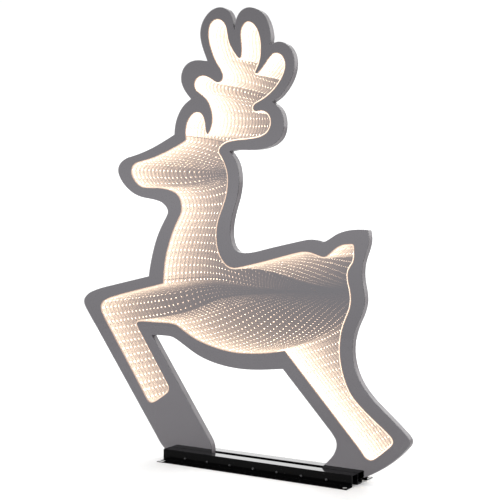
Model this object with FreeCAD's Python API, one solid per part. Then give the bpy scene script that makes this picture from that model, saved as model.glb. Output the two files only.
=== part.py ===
import FreeCAD, Part
import math
import os

# Light-up yard reindeer: a flat two-sided lighted mirror panel, cut to the outline of a leaping
# reindeer, that stands in the slot of a low black metal base.
#
# Frame, in millimetres: origin on the ground under the middle of the base, X along the panel with
# the muzzle towards -X, Y through the panel with the front face towards -Y, and +Z up.

ALMOST_NOTHING = 1e-6        # lengths below this count as none
STRAIGHT_ENOUGH = 1e-4       # a corner that stands out less than this needs no rounding

# ---- overall sizes ----
REINDEER_HEIGHT = 908.0      # ground to the tip of the highest tine
BASE_LENGTH = 428.0

# ---- mirror panel: sheet, tape, core, tape, sheet ----
SHEET_THICKNESS = 1.0
TAPE_THICKNESS = 0.5
CORE_THICKNESS = 12.0
TAPE_SETBACK = 1.2           # the tape stops this far short of the outer edge and of the window
SEAL_WIDTH = 1.0             # clear sealing line between core and sheet, round the window
PANEL_THICKNESS = CORE_THICKNESS + 2 * (SHEET_THICKNESS + TAPE_THICKNESS)

# ---- lights inside the window ----
STRIP_WIDTH = 10.0
STRIP_THICKNESS = 0.4
STRIP_GLUE_GAP = 0.1         # adhesive between the strip and the wall of the window
CHIP_PITCH = 16.667
CHIP_LENGTH = 3.5            # along the strip
CHIP_WIDTH = 2.8             # across the strip
CHIP_HEIGHT = 0.8
JOINT_GAP = 2.0              # bare wall between two lengths of strip
JOINT_CLEAR = 4.0            # no chip sits closer than this to the middle of a joint
GEL_HEIGHT = 1.5             # clear sealing beads along both edges of a strip
GEL_WIDTH = 1.0
LINK_WIRE_LENGTH = 9.0
LINK_WIRE_RADIUS = 0.5
LINK_WIRE_OFFSET = 3.2       # each side of the strip's middle line

# ---- base: two thin bent rails, one each side of the slot ----
RAIL_WALL = 1.5
RAIL_HEIGHT = 22.0
TOP_DEPTH = 24.6             # the flat top of a rail, front to back
FLANGE_DEPTH = 23.1          # the flange that lies on the ground
BEND_RADIUS = 1.2            # outer radius of the folds
FOOT_CLEARANCE = 0.3         # each side of the panel in the slot
LINER_THICKNESS = 2.0        # rubber under the feet

PEG_HOLE_RADIUS = 5.5
PEG_HOLE_END = 9.0           # from the end of the base to the middle of a hole

# ---- tie screws that pull the rails onto the feet ----
SCREW_COUNT = 7
SCREW_RADIUS = 1.5
SCREW_HEIGHT = 8.0           # above the ground
SCREW_CLEARANCE = 0.15
SCREW_HEAD_RADIUS = 2.6
SCREW_HEAD_HEIGHT = 1.6
SLEEVE_RADIUS = 3.0
SPACER_RADIUS = 4.0
SPACER_CLEARANCE = 0.3
NUT_ACROSS_FLATS = 5.5
NUT_HEIGHT = 2.4
THREAD_END = 0.8             # the screw shows this much past its nut

# ---- power socket in the edge of the rear hoof ----
SOCKET_RADIUS = 4.0
SOCKET_DEPTH = 11.0
SOCKET_BORE_RADIUS = 2.75
SOCKET_BORE_DEPTH = 9.0
SOCKET_PIN_RADIUS = 1.0
SOCKET_PIN_RECESS = 1.0
SOCKET_FLANGE_RADIUS = 5.0
SOCKET_FLANGE_THICKNESS = 1.3
GASKET_THICKNESS = 0.5
SOCKET_CLEARANCE = 0.1
FEED_WIRE_RADIUS = 0.8
FEED_WIRE_OFFSET = 1.0
FEED_DUCT_RADIUS = 2.4

# ---- worked out from the sizes above ----
SLOT_HALF = PANEL_THICKNESS / 2 + FOOT_CLEARANCE
WALL_FACE = SLOT_HALF + TOP_DEPTH
FLANGE_EDGE = WALL_FACE + FLANGE_DEPTH
CORE_FACE = CORE_THICKNESS / 2
TAPE_FACE = CORE_FACE + TAPE_THICKNESS
SCREW_PITCH = BASE_LENGTH / (SCREW_COUNT + 1)
PEG_HOLE_X = BASE_LENGTH / 2 - PEG_HOLE_END
PEG_HOLE_Y = (WALL_FACE + FLANGE_EDGE) / 2

# The outlines are drawn for a reindeer 908 high whose feet end 2 above the ground.
DRAWN_TOP = 908.0
DRAWN_FOOT = 2.0
DRAWING_SCALE = (REINDEER_HEIGHT - LINER_THICKNESS) / (DRAWN_TOP - DRAWN_FOOT)

# A point is (x, z) where the outline runs smoothly, or (x, z, radius) at a corner.
# Outer edge of the panel, clockwise from the toe of the front foot.
FRONT_LEG = [
    (-205, 2), (-222, 11), (-238, 23), (-250, 40), (-436, 295),
    (-443, 306), (-443, 317), (-430, 330), (-400, 341), (-269, 371, 1),
]
CHEST_AND_CHIN = [
    (-267, 385), (-261, 412), (-251, 445), (-238, 472), (-224, 494), (-219, 503), (-222, 513),
    (-234, 524), (-255, 530), (-285, 534), (-306, 541), (-324, 553), (-338, 567), (-347, 582),
]
FACE = [
    (-349, 594), (-343, 606), (-328, 616), (-300, 622), (-270, 631), (-238, 644), (-203, 661, 1),
]
EAR = [(-202, 674), (-198, 691), (-190, 707), (-178, 721), (-162, 731, 0.5)]
ANTLER_TINES = [
    (-178, 749), (-186, 766), (-186, 781), (-179, 796), (-166, 805), (-148, 808), (-122, 804, 0.5),
    (-131, 825), (-137, 842), (-140, 860), (-136, 878), (-126, 893), (-112, 904), (-95, 908),
    (-80, 905), (-69, 896), (-63, 883), (-60, 870), (-58, 858, 0),
    (-57, 870), (-53, 885), (-43, 897), (-28, 902), (-10, 898), (4, 890), (15, 876), (22, 858),
    (25, 840), (22, 825, 0.5),
    (40, 831), (56, 827), (69, 815), (76, 799), (77, 780), (71, 760), (60, 742), (44, 725),
    (28, 716, 0.5),
    (42, 706), (51, 693), (54, 676), (53, 660), (46, 645), (32, 634), (10, 627), (-20, 625),
    (-50, 627), (-70, 624, 1),
]
NECK_AND_BACK = [
    (-59, 612), (-51, 597), (-47, 575), (-48, 552), (-53, 530), (-62, 505), (-68, 480), (-69, 458),
    (-64, 438), (-54, 427), (-38, 424), (-15, 426), (30, 437), (90, 450), (110, 454), (127, 453),
    (141, 449, 0.5),
]
TAIL_AND_RUMP = [
    (154, 456), (168, 465), (190, 472), (215, 474), (232, 473, 3), (235, 455), (231, 438),
    (224, 420), (220, 403), (220, 382), (225, 360), (227, 340), (221, 317), (210, 296),
    (203, 275), (200, 250), (203, 226), (211, 203), (224, 181), (243, 160), (268, 139),
    (293, 118), (313, 100),
]
HOOF_EDGE_START = (262, 34)
HOOF_EDGE_END = (238, 20)
REAR_HOOF = [
    (318, 92), (316, 83), (303, 68), (285, 51), HOOF_EDGE_START, HOOF_EDGE_END, (214, 9), (196, 2),
    (134, 2, 2), (134, 16), (139, 25), (152, 37), (164, 51), (169, 66), (168, 77), (160, 89),
]
BELLY = [
    (52, 203, 1), (0, 197), (-40, 195), (-80, 198), (-116, 205), (-146, 215), (-172, 229),
    (-196, 243), (-212, 250), (-262, 250, 1), (-117, 43), (-113, 30), (-113, 2, 2),
]
OUTER_EDGE = (FRONT_LEG + CHEST_AND_CHIN + FACE + EAR + ANTLER_TINES + NECK_AND_BACK
              + TAIL_AND_RUMP + REAR_HOOF + BELLY)

# Edge of the lighted window, clockwise from the corner at the forehead.  One strip of lights runs
# along each part, and the joint between two strips is in the middle of a part's first side.
WINDOW_ANTLERS = [
    (-174, 649, 3), (-176, 665), (-173, 682), (-165, 695), (-156, 702), (-148, 704), (-139, 702),
    (-133, 695), (-129, 683), (-127, 665), (-123, 657), (-117, 664), (-111, 678), (-110, 693),
    (-113, 708), (-119, 722), (-128, 733), (-140, 741), (-150, 748), (-154, 758), (-152, 767),
    (-144, 774), (-133, 776), (-120, 772), (-109, 765), (-101, 760), (-92, 760), (-86, 766),
    (-85, 774), (-91, 787), (-101, 800), (-110, 818), (-117, 838), (-120, 858), (-117, 873),
    (-110, 882), (-99, 885), (-88, 881), (-80, 872), (-76, 858), (-74, 843), (-68, 829),
    (-58, 814), (-49, 804), (-43, 805), (-41, 820), (-43, 840), (-44, 853), (-41, 865),
    (-34, 872), (-27, 874), (-17, 870), (-8, 860), (-2, 846), (1, 830), (1, 812), (-1, 798),
    (-6, 786), (-13, 774), (-7, 771), (2, 779), (11, 789), (20, 800), (29, 808), (37, 809),
    (47, 805), (54, 795), (56, 782), (52, 769), (44, 755), (32, 741), (17, 729), (0, 720),
    (-12, 715), (-17, 709), (-16, 702), (-10, 699), (3, 701), (14, 697), (21, 690), (24, 680),
    (22, 667), (13, 656), (-2, 650), (-25, 647), (-55, 646), (-76, 643), (-90, 636), (-98, 625),
]
WINDOW_BACK = [
    (-88, 611), (-80, 596), (-75, 578), (-75, 560), (-78, 538), (-86, 516), (-95, 497),
    (-101, 478), (-103, 457), (-101, 438), (-96, 421), (-86, 406), (-76, 397), (-62, 393),
    (-45, 396), (0, 406), (50, 419), (85, 428), (102, 430), (120, 426), (133, 421), (144, 420),
    (153, 427), (166, 438), (180, 445),
]
WINDOW_RUMP = [
    (202, 446, 4), (203, 425), (201, 413), (193, 403), (189, 392), (190, 377), (195, 360),
    (197, 343), (194, 325), (186, 308), (178, 288), (174, 265), (173, 243), (177, 216),
    (184, 192), (196, 167), (214, 148), (238, 128), (266, 107), (281, 94), (284, 86),
    (279, 79), (262, 64), (246, 51), (237, 48), (228, 52), (219, 64),
]
WINDOW_BELLY = [
    (56, 239, 3), (20, 232), (-20, 228), (-55, 227), (-90, 231), (-125, 239), (-155, 249),
    (-182, 264), (-200, 275), (-215, 277), (-290, 277), (-301, 275),
]
WINDOW_FRONT_LEG = [
    (-302, 267), (-224, 152), (-219, 143), (-222, 134), (-240, 121), (-256, 111), (-265, 108),
    (-274, 113), (-283, 127), (-388, 280), (-396, 295), (-397, 304), (-390, 314),
    (-375, 321), (-340, 331),
]
WINDOW_HEAD = [
    (-232, 357, 3), (-231, 372), (-229, 395), (-224, 420), (-215, 447), (-203, 474), (-190, 496),
    (-185, 507), (-186, 521), (-191, 535), (-201, 544), (-217, 550), (-240, 554), (-265, 554),
    (-285, 555), (-298, 562), (-308, 573), (-314, 586), (-312, 597), (-303, 605), (-285, 609),
    (-260, 614), (-230, 624), (-200, 636), (-183, 644),
]
WINDOW_PARTS = {
    "antlers": WINDOW_ANTLERS,
    "back": WINDOW_BACK,
    "rump": WINDOW_RUMP,
    "belly": WINDOW_BELLY,
    "front_leg": WINDOW_FRONT_LEG,
    "head": WINDOW_HEAD,
}
WINDOW_EDGE = [point for part in WINDOW_PARTS.values() for point in part]


def vec(x, y, z):
    return FreeCAD.Vector(x, y, z)


def placed(point):
    """A drawn (x, z) point at the real size, on the panel's middle plane."""
    z = LINER_THICKNESS + (point[1] - DRAWN_FOOT) * DRAWING_SCALE
    return vec(point[0] * DRAWING_SCALE, 0, z)


def corner_cut(before, corner, after, radius):
    """How far from a corner its round starts: the radius given, or as much as the sides allow."""
    to_before = before - corner
    to_after = after - corner
    half_angle = to_before.getAngle(to_after) / 2
    room = 0.5 * min(to_before.Length, to_after.Length)
    if radius is None:
        return room
    return min(room, radius / math.tan(half_angle))


def rounded_wire(points, radii):
    """A closed wire of lines and arcs through the points; radius None rounds as much as it can."""
    pieces = []
    count = len(points)
    for i in range(count):
        before, corner, after = points[i - 1], points[i], points[(i + 1) % count]
        cut = corner_cut(before, corner, after, radii[i])
        start = corner + (before - corner).normalize() * cut
        end = corner + (after - corner).normalize() * cut
        middle = (start + end) * 0.5
        pieces.append((start, end, corner, middle, cut))
    edges = []
    for i in range(count):
        start, end, corner, middle, cut = pieces[i]
        bend = (corner - middle).Length
        if cut > ALMOST_NOTHING and bend > STRAIGHT_ENOUGH:
            half = (end - start).Length / 2
            radius = half * cut / bend
            rise = radius - math.sqrt(max(radius * radius - half * half, 0.0))
            top = middle + (corner - middle).normalize() * rise
            edges.append(Part.Arc(start, top, end).toShape())
        elif (end - start).Length > ALMOST_NOTHING:
            edges.append(Part.makeLine(start, end))
        following = pieces[(i + 1) % count][0]
        if (following - end).Length > ALMOST_NOTHING:
            edges.append(Part.makeLine(end, following))
    return Part.Wire(edges)


def outline_wire(drawn):
    """The wire of a drawn outline at the real size."""
    points = [placed(point) for point in drawn]
    radii = [point[2] * DRAWING_SCALE if len(point) > 2 else None for point in drawn]
    return rounded_wire(points, radii)


def slab(face, y_low, y_high):
    """A flat face of the middle plane thickened from y_low to y_high."""
    moved = face.copy()
    moved.translate(vec(0, y_low, 0))
    return moved.extrude(vec(0, y_high - y_low, 0))


def y_cylinder(radius, x, z, y_low, y_high):
    return Part.makeCylinder(radius, y_high - y_low, vec(x, y_low, z), vec(0, 1, 0))


def screw_places():
    """The X of each tie screw, evenly spaced about the middle of the base."""
    return [(i - (SCREW_COUNT - 1) / 2) * SCREW_PITCH for i in range(SCREW_COUNT)]


def foot_bores():
    """The holes through the feet that the slot spacers pass through."""
    radius = SPACER_RADIUS + SPACER_CLEARANCE
    reach = PANEL_THICKNESS
    bores = [y_cylinder(radius, x, SCREW_HEIGHT, -reach, reach) for x in screw_places()]
    return Part.Compound(bores)


def inset_face(wire, distance):
    """The face of a wire moved inwards (distance above zero) or outwards."""
    return Part.Face(wire.makeOffset2D(-distance))


def write(name, shape):
    shape.exportStep(os.path.join("parts", name + ".step"))


# ---- panel ----
def build_panel(outer_wire, window_wire):
    """The mirror sheets, the core between them, and a tape and a seal on each side of it."""
    outer = Part.Face(outer_wire)
    window = Part.Face(window_wire)
    ring = outer.cut(window)
    tape_ring = inset_face(outer_wire, TAPE_SETBACK).cut(inset_face(window_wire, -TAPE_SETBACK))
    seal_ring = inset_face(window_wire, -SEAL_WIDTH).cut(window)
    bores = foot_bores()

    core = slab(ring, -CORE_FACE, CORE_FACE).cut(bores).cut(socket_recess(window))
    write("core_frame", core)

    layers = [("front", -1), ("rear", 1)]
    for side, sign in layers:
        tape_ends = sorted((sign * CORE_FACE, sign * TAPE_FACE))
        sheet_ends = sorted((sign * TAPE_FACE, sign * PANEL_THICKNESS / 2))
        write(side + "_bond_tape", slab(tape_ring, *tape_ends).cut(bores))
        write(side + "_seal_line", slab(seal_ring, *tape_ends))
        write(side + "_mirror_sheet", slab(outer, *sheet_ends).cut(bores))


# ---- lights ----
def joint_places():
    """The middle and the direction of each gap between strips, by the part that starts there."""
    places = {}
    for part_name, part in WINDOW_PARTS.items():
        start, end = placed(part[0]), placed(part[1])
        places[part_name] = ((start + end) * 0.5, (end - start).normalize())
    return places


def aligned_box(middle, along, length, depth, width):
    """A box about its middle: length along a direction in XZ, depth across it, width in Y."""
    box = Part.makeBox(length, width, depth, vec(-length / 2, -width / 2, -depth / 2))
    box.Placement = FreeCAD.Placement(middle, FreeCAD.Rotation(vec(1, 0, 0), along))
    return box


def cut_at_joints(band, height):
    """The lengths of a closed band between the joints, by the part that each runs along."""
    gaps = [
        aligned_box(middle, along, JOINT_GAP, 3 * height, 2 * STRIP_WIDTH)
        for middle, along in joint_places().values()
    ]
    lengths = band.cut(Part.Compound(gaps)).Solids
    found = {}
    for part_name, part in WINDOW_PARTS.items():
        marker = Part.Vertex(placed(part[len(part) // 2]))
        found[part_name] = min(lengths, key=lambda solid: solid.distToShape(marker)[0])
    return found


def build_strips(window_wire):
    """The strip boards round the inside of the window, with a sealing bead along each edge."""
    board_top = STRIP_GLUE_GAP + STRIP_THICKNESS
    wall = inset_face(window_wire, STRIP_GLUE_GAP)
    board = inset_face(window_wire, board_top)
    half = STRIP_WIDTH / 2

    boards = cut_at_joints(slab(wall.cut(board), -half, half), board_top)
    bead_top = board_top + GEL_HEIGHT
    bead_ring = board.cut(inset_face(window_wire, bead_top))
    front_beads = cut_at_joints(slab(bead_ring, -half, -half + GEL_WIDTH), bead_top)
    rear_beads = cut_at_joints(slab(bead_ring, half - GEL_WIDTH, half), bead_top)
    for part_name in WINDOW_PARTS:
        write("led_strip_" + part_name, boards[part_name])
        beads = Part.Compound([front_beads[part_name], rear_beads[part_name]])
        write("strip_gel_" + part_name, beads)


def build_chips(window_wire):
    """A light at every pitch along the strips, kept clear of the joints."""
    line = inset_face(window_wire, STRIP_GLUE_GAP + STRIP_THICKNESS + CHIP_HEIGHT / 2).OuterWire
    steps = 8
    count = round(line.Length / CHIP_PITCH)
    track = line.discretize(Number=count * steps + 1)[:-1]
    joints = joint_places()

    def nearest(place):
        return min(range(len(track)), key=lambda i: (track[i] - place).Length)

    starts = {name: nearest(middle) for name, (middle, along) in joints.items()}
    middle, along = joints["head"]
    i = starts["head"]
    if (track[(i + 1) % len(track)] - track[i]).dot(along) < 0:
        track.reverse()
        starts = {name: nearest(middle) for name, (middle, along) in joints.items()}

    chips = {name: [] for name in WINDOW_PARTS}
    for i in range(0, len(track), steps):
        place = track[i]
        if min((place - middle).Length for middle, along in joints.values()) < JOINT_CLEAR:
            continue
        part_name = min(starts, key=lambda name: (i - starts[name]) % len(track))
        along = (track[(i + 1) % len(track)] - track[i - 1]).normalize()
        chips[part_name].append(aligned_box(place, along, CHIP_LENGTH, CHIP_HEIGHT, CHIP_WIDTH))
    for part_name, solids in chips.items():
        write("led_chips_" + part_name, Part.Compound(solids))


def build_links():
    """Two short wires soldered across each gap between strips."""
    lift = STRIP_GLUE_GAP + STRIP_THICKNESS + LINK_WIRE_RADIUS
    wires = []
    for middle, along in joint_places().values():
        inward = vec(along.z, 0, -along.x)
        for side in (-1, 1):
            start = middle + inward * lift - along * (LINK_WIRE_LENGTH / 2)
            start.y = side * LINK_WIRE_OFFSET
            wires.append(Part.makeCylinder(LINK_WIRE_RADIUS, LINK_WIRE_LENGTH, start, along))
    write("strip_link_wires", Part.Compound(wires))


# ---- power socket ----
def socket_axis():
    """The middle of the hoof's flat stretch and the outward direction there."""
    start, end = placed(HOOF_EDGE_START), placed(HOOF_EDGE_END)
    along = (end - start).normalize()
    return (start + end) * 0.5, vec(-along.z, 0, along.x)


def along_socket(radius, depth_from, depth_to):
    """A cylinder on the socket's axis between two depths below the hoof's edge."""
    mouth, outward = socket_axis()
    return Part.makeCylinder(radius, depth_to - depth_from, mouth - outward * depth_to, outward)


def window_depth(window):
    """How deep below the hoof's edge the socket's axis reaches the window."""
    mouth, outward = socket_axis()
    ray = Part.makeLine(mouth, mouth - outward * REINDEER_HEIGHT)
    inside = ray.common(window)
    return min((vertex.Point - mouth).Length for vertex in inside.Vertexes)


def socket_recess(window):
    """The stepped hole in the core for the socket, with the duct for its wires."""
    overrun = 2.0
    seat = along_socket(SOCKET_FLANGE_RADIUS + SOCKET_CLEARANCE, -overrun,
                        SOCKET_FLANGE_THICKNESS + GASKET_THICKNESS)
    barrel = along_socket(SOCKET_RADIUS + SOCKET_CLEARANCE, 0, SOCKET_DEPTH)
    duct = along_socket(FEED_DUCT_RADIUS, 0, window_depth(window) + overrun)
    return Part.Compound([seat, barrel, duct])


def build_socket(window):
    """Housing, gasket and centre pin of the socket, and the two wires to the strips."""
    flange = along_socket(SOCKET_FLANGE_RADIUS, 0, SOCKET_FLANGE_THICKNESS)
    barrel = along_socket(SOCKET_RADIUS, 0, SOCKET_DEPTH)
    bore = along_socket(SOCKET_BORE_RADIUS, 0, SOCKET_BORE_DEPTH)
    write("power_socket_housing", flange.fuse(barrel).cut(bore).removeSplitter())
    write("power_socket_pin", along_socket(SOCKET_PIN_RADIUS, SOCKET_PIN_RECESS, SOCKET_BORE_DEPTH))

    gasket_end = SOCKET_FLANGE_THICKNESS + GASKET_THICKNESS
    gasket = along_socket(SOCKET_FLANGE_RADIUS, SOCKET_FLANGE_THICKNESS, gasket_end)
    write("power_socket_gasket", gasket.cut(along_socket(SOCKET_RADIUS, 0, SOCKET_DEPTH)))

    wire_end = window_depth(window)
    for name, side in (("feed_wire_positive", -1), ("feed_wire_negative", 1)):
        wire = along_socket(FEED_WIRE_RADIUS, SOCKET_DEPTH, wire_end)
        wire.translate(vec(0, side * FEED_WIRE_OFFSET, 0))
        write(name, wire)


# ---- base ----
def front_rail_profile():
    """Section of the front rail: flange on the ground, wall up, flat top, wall down to the slot."""
    wall = RAIL_WALL
    inner_bend = max(BEND_RADIUS - wall, 0.2)
    section = [
        (-FLANGE_EDGE, 0, 0), (-FLANGE_EDGE, wall, 0), (-WALL_FACE, wall, inner_bend),
        (-WALL_FACE, RAIL_HEIGHT, BEND_RADIUS), (-SLOT_HALF, RAIL_HEIGHT, BEND_RADIUS),
        (-SLOT_HALF, 0, 0), (-SLOT_HALF - wall, 0, 0),
        (-SLOT_HALF - wall, RAIL_HEIGHT - wall, inner_bend),
        (-WALL_FACE + wall, RAIL_HEIGHT - wall, inner_bend), (-WALL_FACE + wall, 0, BEND_RADIUS),
    ]
    points = [vec(-BASE_LENGTH / 2, y, z) for y, z, radius in section]
    radii = [radius for y, z, radius in section]
    return Part.Face(rounded_wire(points, radii))


def build_rails():
    """The two bent rails, with the screw holes and the peg holes through their flanges."""
    rail = front_rail_profile().extrude(vec(BASE_LENGTH, 0, 0))
    holes = [
        y_cylinder(SCREW_RADIUS + SCREW_CLEARANCE, x, SCREW_HEIGHT, -FLANGE_EDGE, 0)
        for x in screw_places()
    ]
    for x in (-PEG_HOLE_X, PEG_HOLE_X):
        hole_start = vec(x, -PEG_HOLE_Y, -RAIL_WALL)
        holes.append(Part.makeCylinder(PEG_HOLE_RADIUS, 3 * RAIL_WALL, hole_start))
    rail = rail.cut(Part.Compound(holes))
    write("base_front_rail", rail)
    write("base_rear_rail", rail.mirror(vec(0, 0, 0), vec(0, 1, 0)))


def build_slot_liner():
    """The rubber strip on the floor of the slot, which the feet stand on."""
    liner = Part.makeBox(BASE_LENGTH, 2 * SLOT_HALF, LINER_THICKNESS,
                         vec(-BASE_LENGTH / 2, -SLOT_HALF, 0))
    write("slot_liner", liner)


def tube(outer_radius, x, y_low, y_high):
    """A plain tube round a tie screw."""
    bore = y_cylinder(SCREW_RADIUS + SCREW_CLEARANCE, x, SCREW_HEIGHT, y_low, y_high)
    return y_cylinder(outer_radius, x, SCREW_HEIGHT, y_low, y_high).cut(bore)


def hexagon_nut(x):
    """A plain nut against the rear rail."""
    corner = NUT_ACROSS_FLATS / math.sqrt(3)
    turns = [i * math.pi / 3 for i in range(6)]
    points = [
        vec(x + corner * math.cos(turn), WALL_FACE, SCREW_HEIGHT + corner * math.sin(turn))
        for turn in turns
    ]
    blank = Part.Face(Part.makePolygon(points + points[:1])).extrude(vec(0, NUT_HEIGHT, 0))
    return blank.cut(y_cylinder(SCREW_RADIUS, x, SCREW_HEIGHT, WALL_FACE, WALL_FACE + NUT_HEIGHT))


def tie_screw(x):
    """A round-headed screw that runs through both rails, from the front to the nut at the rear."""
    shank_end = WALL_FACE + NUT_HEIGHT + THREAD_END
    shank = y_cylinder(SCREW_RADIUS, x, SCREW_HEIGHT, -WALL_FACE, shank_end)
    head_front = -WALL_FACE - SCREW_HEAD_HEIGHT
    head = y_cylinder(SCREW_HEAD_RADIUS, x, SCREW_HEIGHT, head_front, -WALL_FACE)
    front_edges = [edge for edge in head.Edges if edge.BoundBox.YMax < head_front + ALMOST_NOTHING]
    head = head.makeFillet(0.6 * SCREW_HEAD_HEIGHT, front_edges)
    return shank.fuse(head)


def build_ties():
    """Screws, nuts, the sleeves inside the rails and the spacers in the slot."""
    places = screw_places()
    inner_face = WALL_FACE - RAIL_WALL
    slot_wall = SLOT_HALF + RAIL_WALL
    sets = {
        "tie_screws": [tie_screw(x) for x in places],
        "tie_nuts": [hexagon_nut(x) for x in places],
        "front_rail_sleeves": [tube(SLEEVE_RADIUS, x, -inner_face, -slot_wall) for x in places],
        "rear_rail_sleeves": [tube(SLEEVE_RADIUS, x, slot_wall, inner_face) for x in places],
        "slot_spacers": [tube(SPACER_RADIUS, x, -SLOT_HALF, SLOT_HALF) for x in places],
    }
    for name, solids in sets.items():
        write(name, Part.Compound(solids))


def main():
    os.makedirs("parts", exist_ok=True)
    outer_wire = outline_wire(OUTER_EDGE)
    window_wire = outline_wire(WINDOW_EDGE)
    window = Part.Face(window_wire)
    build_panel(outer_wire, window_wire)
    build_strips(window_wire)
    build_chips(window_wire)
    build_links()
    build_socket(window)
    build_rails()
    build_slot_liner()
    build_ties()


main()
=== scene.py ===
"""A light-up yard reindeer: an infinity-mirror panel with a lit window, standing in a slotted black base."""

import logging
import math
from abc import ABC, abstractmethod
from collections.abc import Callable, Iterable
from dataclasses import dataclass
from enum import Enum

import bpy
from mathutils import Matrix, Vector

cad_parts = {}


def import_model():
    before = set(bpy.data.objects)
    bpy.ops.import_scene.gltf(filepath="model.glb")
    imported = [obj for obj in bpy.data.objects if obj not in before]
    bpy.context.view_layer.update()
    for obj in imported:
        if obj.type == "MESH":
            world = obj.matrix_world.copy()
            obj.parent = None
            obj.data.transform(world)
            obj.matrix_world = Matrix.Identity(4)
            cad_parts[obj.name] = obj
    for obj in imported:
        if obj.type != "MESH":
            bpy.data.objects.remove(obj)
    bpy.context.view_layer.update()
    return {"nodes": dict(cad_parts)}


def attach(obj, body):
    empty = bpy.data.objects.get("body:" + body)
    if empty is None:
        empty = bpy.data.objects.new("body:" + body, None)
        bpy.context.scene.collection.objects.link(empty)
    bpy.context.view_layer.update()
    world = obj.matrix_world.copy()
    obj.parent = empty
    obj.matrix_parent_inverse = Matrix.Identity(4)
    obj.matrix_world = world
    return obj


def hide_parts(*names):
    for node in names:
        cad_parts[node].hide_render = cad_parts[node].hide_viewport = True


MM = 0.001
BODY = "root"
FACING = 0.9
NEARLY = 0.01 * MM

Colour = tuple[float, float, float]
Node = bpy.types.ShaderNode
Socket = bpy.types.NodeSocket

log = logging.getLogger("reindeer")


class Depth(Enum):
    """How far a face of a mirror sheet lies from the middle of the panel, in metres."""

    INNER = 6.5 * MM
    OUTER = 7.5 * MM

    @classmethod
    def between(cls) -> float:
        """The depth that tells an inner face from an outer one."""
        return (cls.INNER.value + cls.OUTER.value) / 2


def rgba(colour: Colour) -> tuple[float, float, float, float]:
    """A colour as a socket takes it."""
    return (*colour, 1.0)


class ShaderSheet:
    """A node tree being laid out, for a material or for a group."""

    def __init__(self, tree: bpy.types.NodeTree) -> None:
        """Take an empty tree.

        Args:
            tree: the tree that the nodes go into.
        """
        self.tree = tree
        tree.nodes.clear()

    def add(self, kind: str, inputs: dict[str | int, object] | None = None, **settings: object) -> Node:
        """Add a node and fill its sockets.

        Args:
            kind: the node's type name.
            inputs: what goes into each socket: a plain value or another node's output.
            settings: the node's own options.

        Returns:
            The new node.
        """
        node = self.tree.nodes.new(kind)
        for option, choice in settings.items():
            setattr(node, option, choice)
        for key, value in (inputs or {}).items():
            if isinstance(value, bpy.types.NodeSocket):
                self.tree.links.new(value, node.inputs[key])
            else:
                node.inputs[key].default_value = value
        return node

    def math(self, operation: str, *values: object) -> Socket:
        """One step of arithmetic on plain values or outputs.

        Args:
            operation: the Math node's operation.
            values: its operands.

        Returns:
            The result's socket.
        """
        return self.add("ShaderNodeMath", dict(enumerate(values)), operation=operation).outputs[0]

    def vector(self, operation: str, *values: object) -> Socket:
        """One step of arithmetic on vectors.

        Args:
            operation: the Vector Math node's operation.
            values: its operands.

        Returns:
            The result's socket: a value for a dot product, and a vector otherwise.
        """
        node = self.add("ShaderNodeVectorMath", dict(enumerate(values)), operation=operation)
        return node.outputs["Value" if operation == "DOT_PRODUCT" else "Vector"]

    def spread(self, value: Socket, low: float, high: float, to_low: float, to_high: float) -> Socket:
        """Stretch a value from one span to another, clamped at both ends.

        Args:
            value: the value.
            low: where the first span starts.
            high: where it ends.
            to_low: what low becomes.
            to_high: what high becomes.

        Returns:
            The stretched value's socket.
        """
        spans = {"From Min": low, "From Max": high, "To Min": to_low, "To Max": to_high}
        return self.add("ShaderNodeMapRange", {"Value": value, **spans}).outputs[0]

    def blend(self, share: object, first: object, second: object, mode: str = "MIX") -> Socket:
        """Blend two colours.

        Args:
            share: how much of the second shows.
            first: the colour underneath.
            second: the colour on top.
            mode: the way that they blend.

        Returns:
            The blended colour's socket.
        """
        node = self.add("ShaderNodeMix", data_type="RGBA", blend_type=mode)
        for index, value in ((0, share), (6, first), (7, second)):
            if isinstance(value, bpy.types.NodeSocket):
                self.tree.links.new(value, node.inputs[index])
            else:
                node.inputs[index].default_value = value
        return node.outputs[2]

    def place(self) -> Socket:
        """A point's place on the object."""
        return self.add("ShaderNodeTexCoord").outputs["Object"]

    def noise(self, scale: float, detail: float = 2.0, place: Socket | None = None) -> Socket:
        """Cloudy noise over the object.

        Args:
            scale: how many clouds there are to a metre.
            detail: how many finer layers it has.
            place: the coordinates, or the object's own.

        Returns:
            The noise's value.
        """
        inputs = {"Vector": place or self.place(), "Scale": scale, "Detail": detail}
        return self.add("ShaderNodeTexNoise", inputs).outputs[0]

    def bump(self, height: Socket, distance: float, strength: float) -> Socket:
        """A normal bent by a height.

        Args:
            height: the height's value.
            distance: what a height of one stands for, in metres.
            strength: how much of it shows.

        Returns:
            The normal.
        """
        inputs = {"Height": height, "Distance": distance, "Strength": strength}
        return self.add("ShaderNodeBump", inputs).outputs[0]


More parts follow.
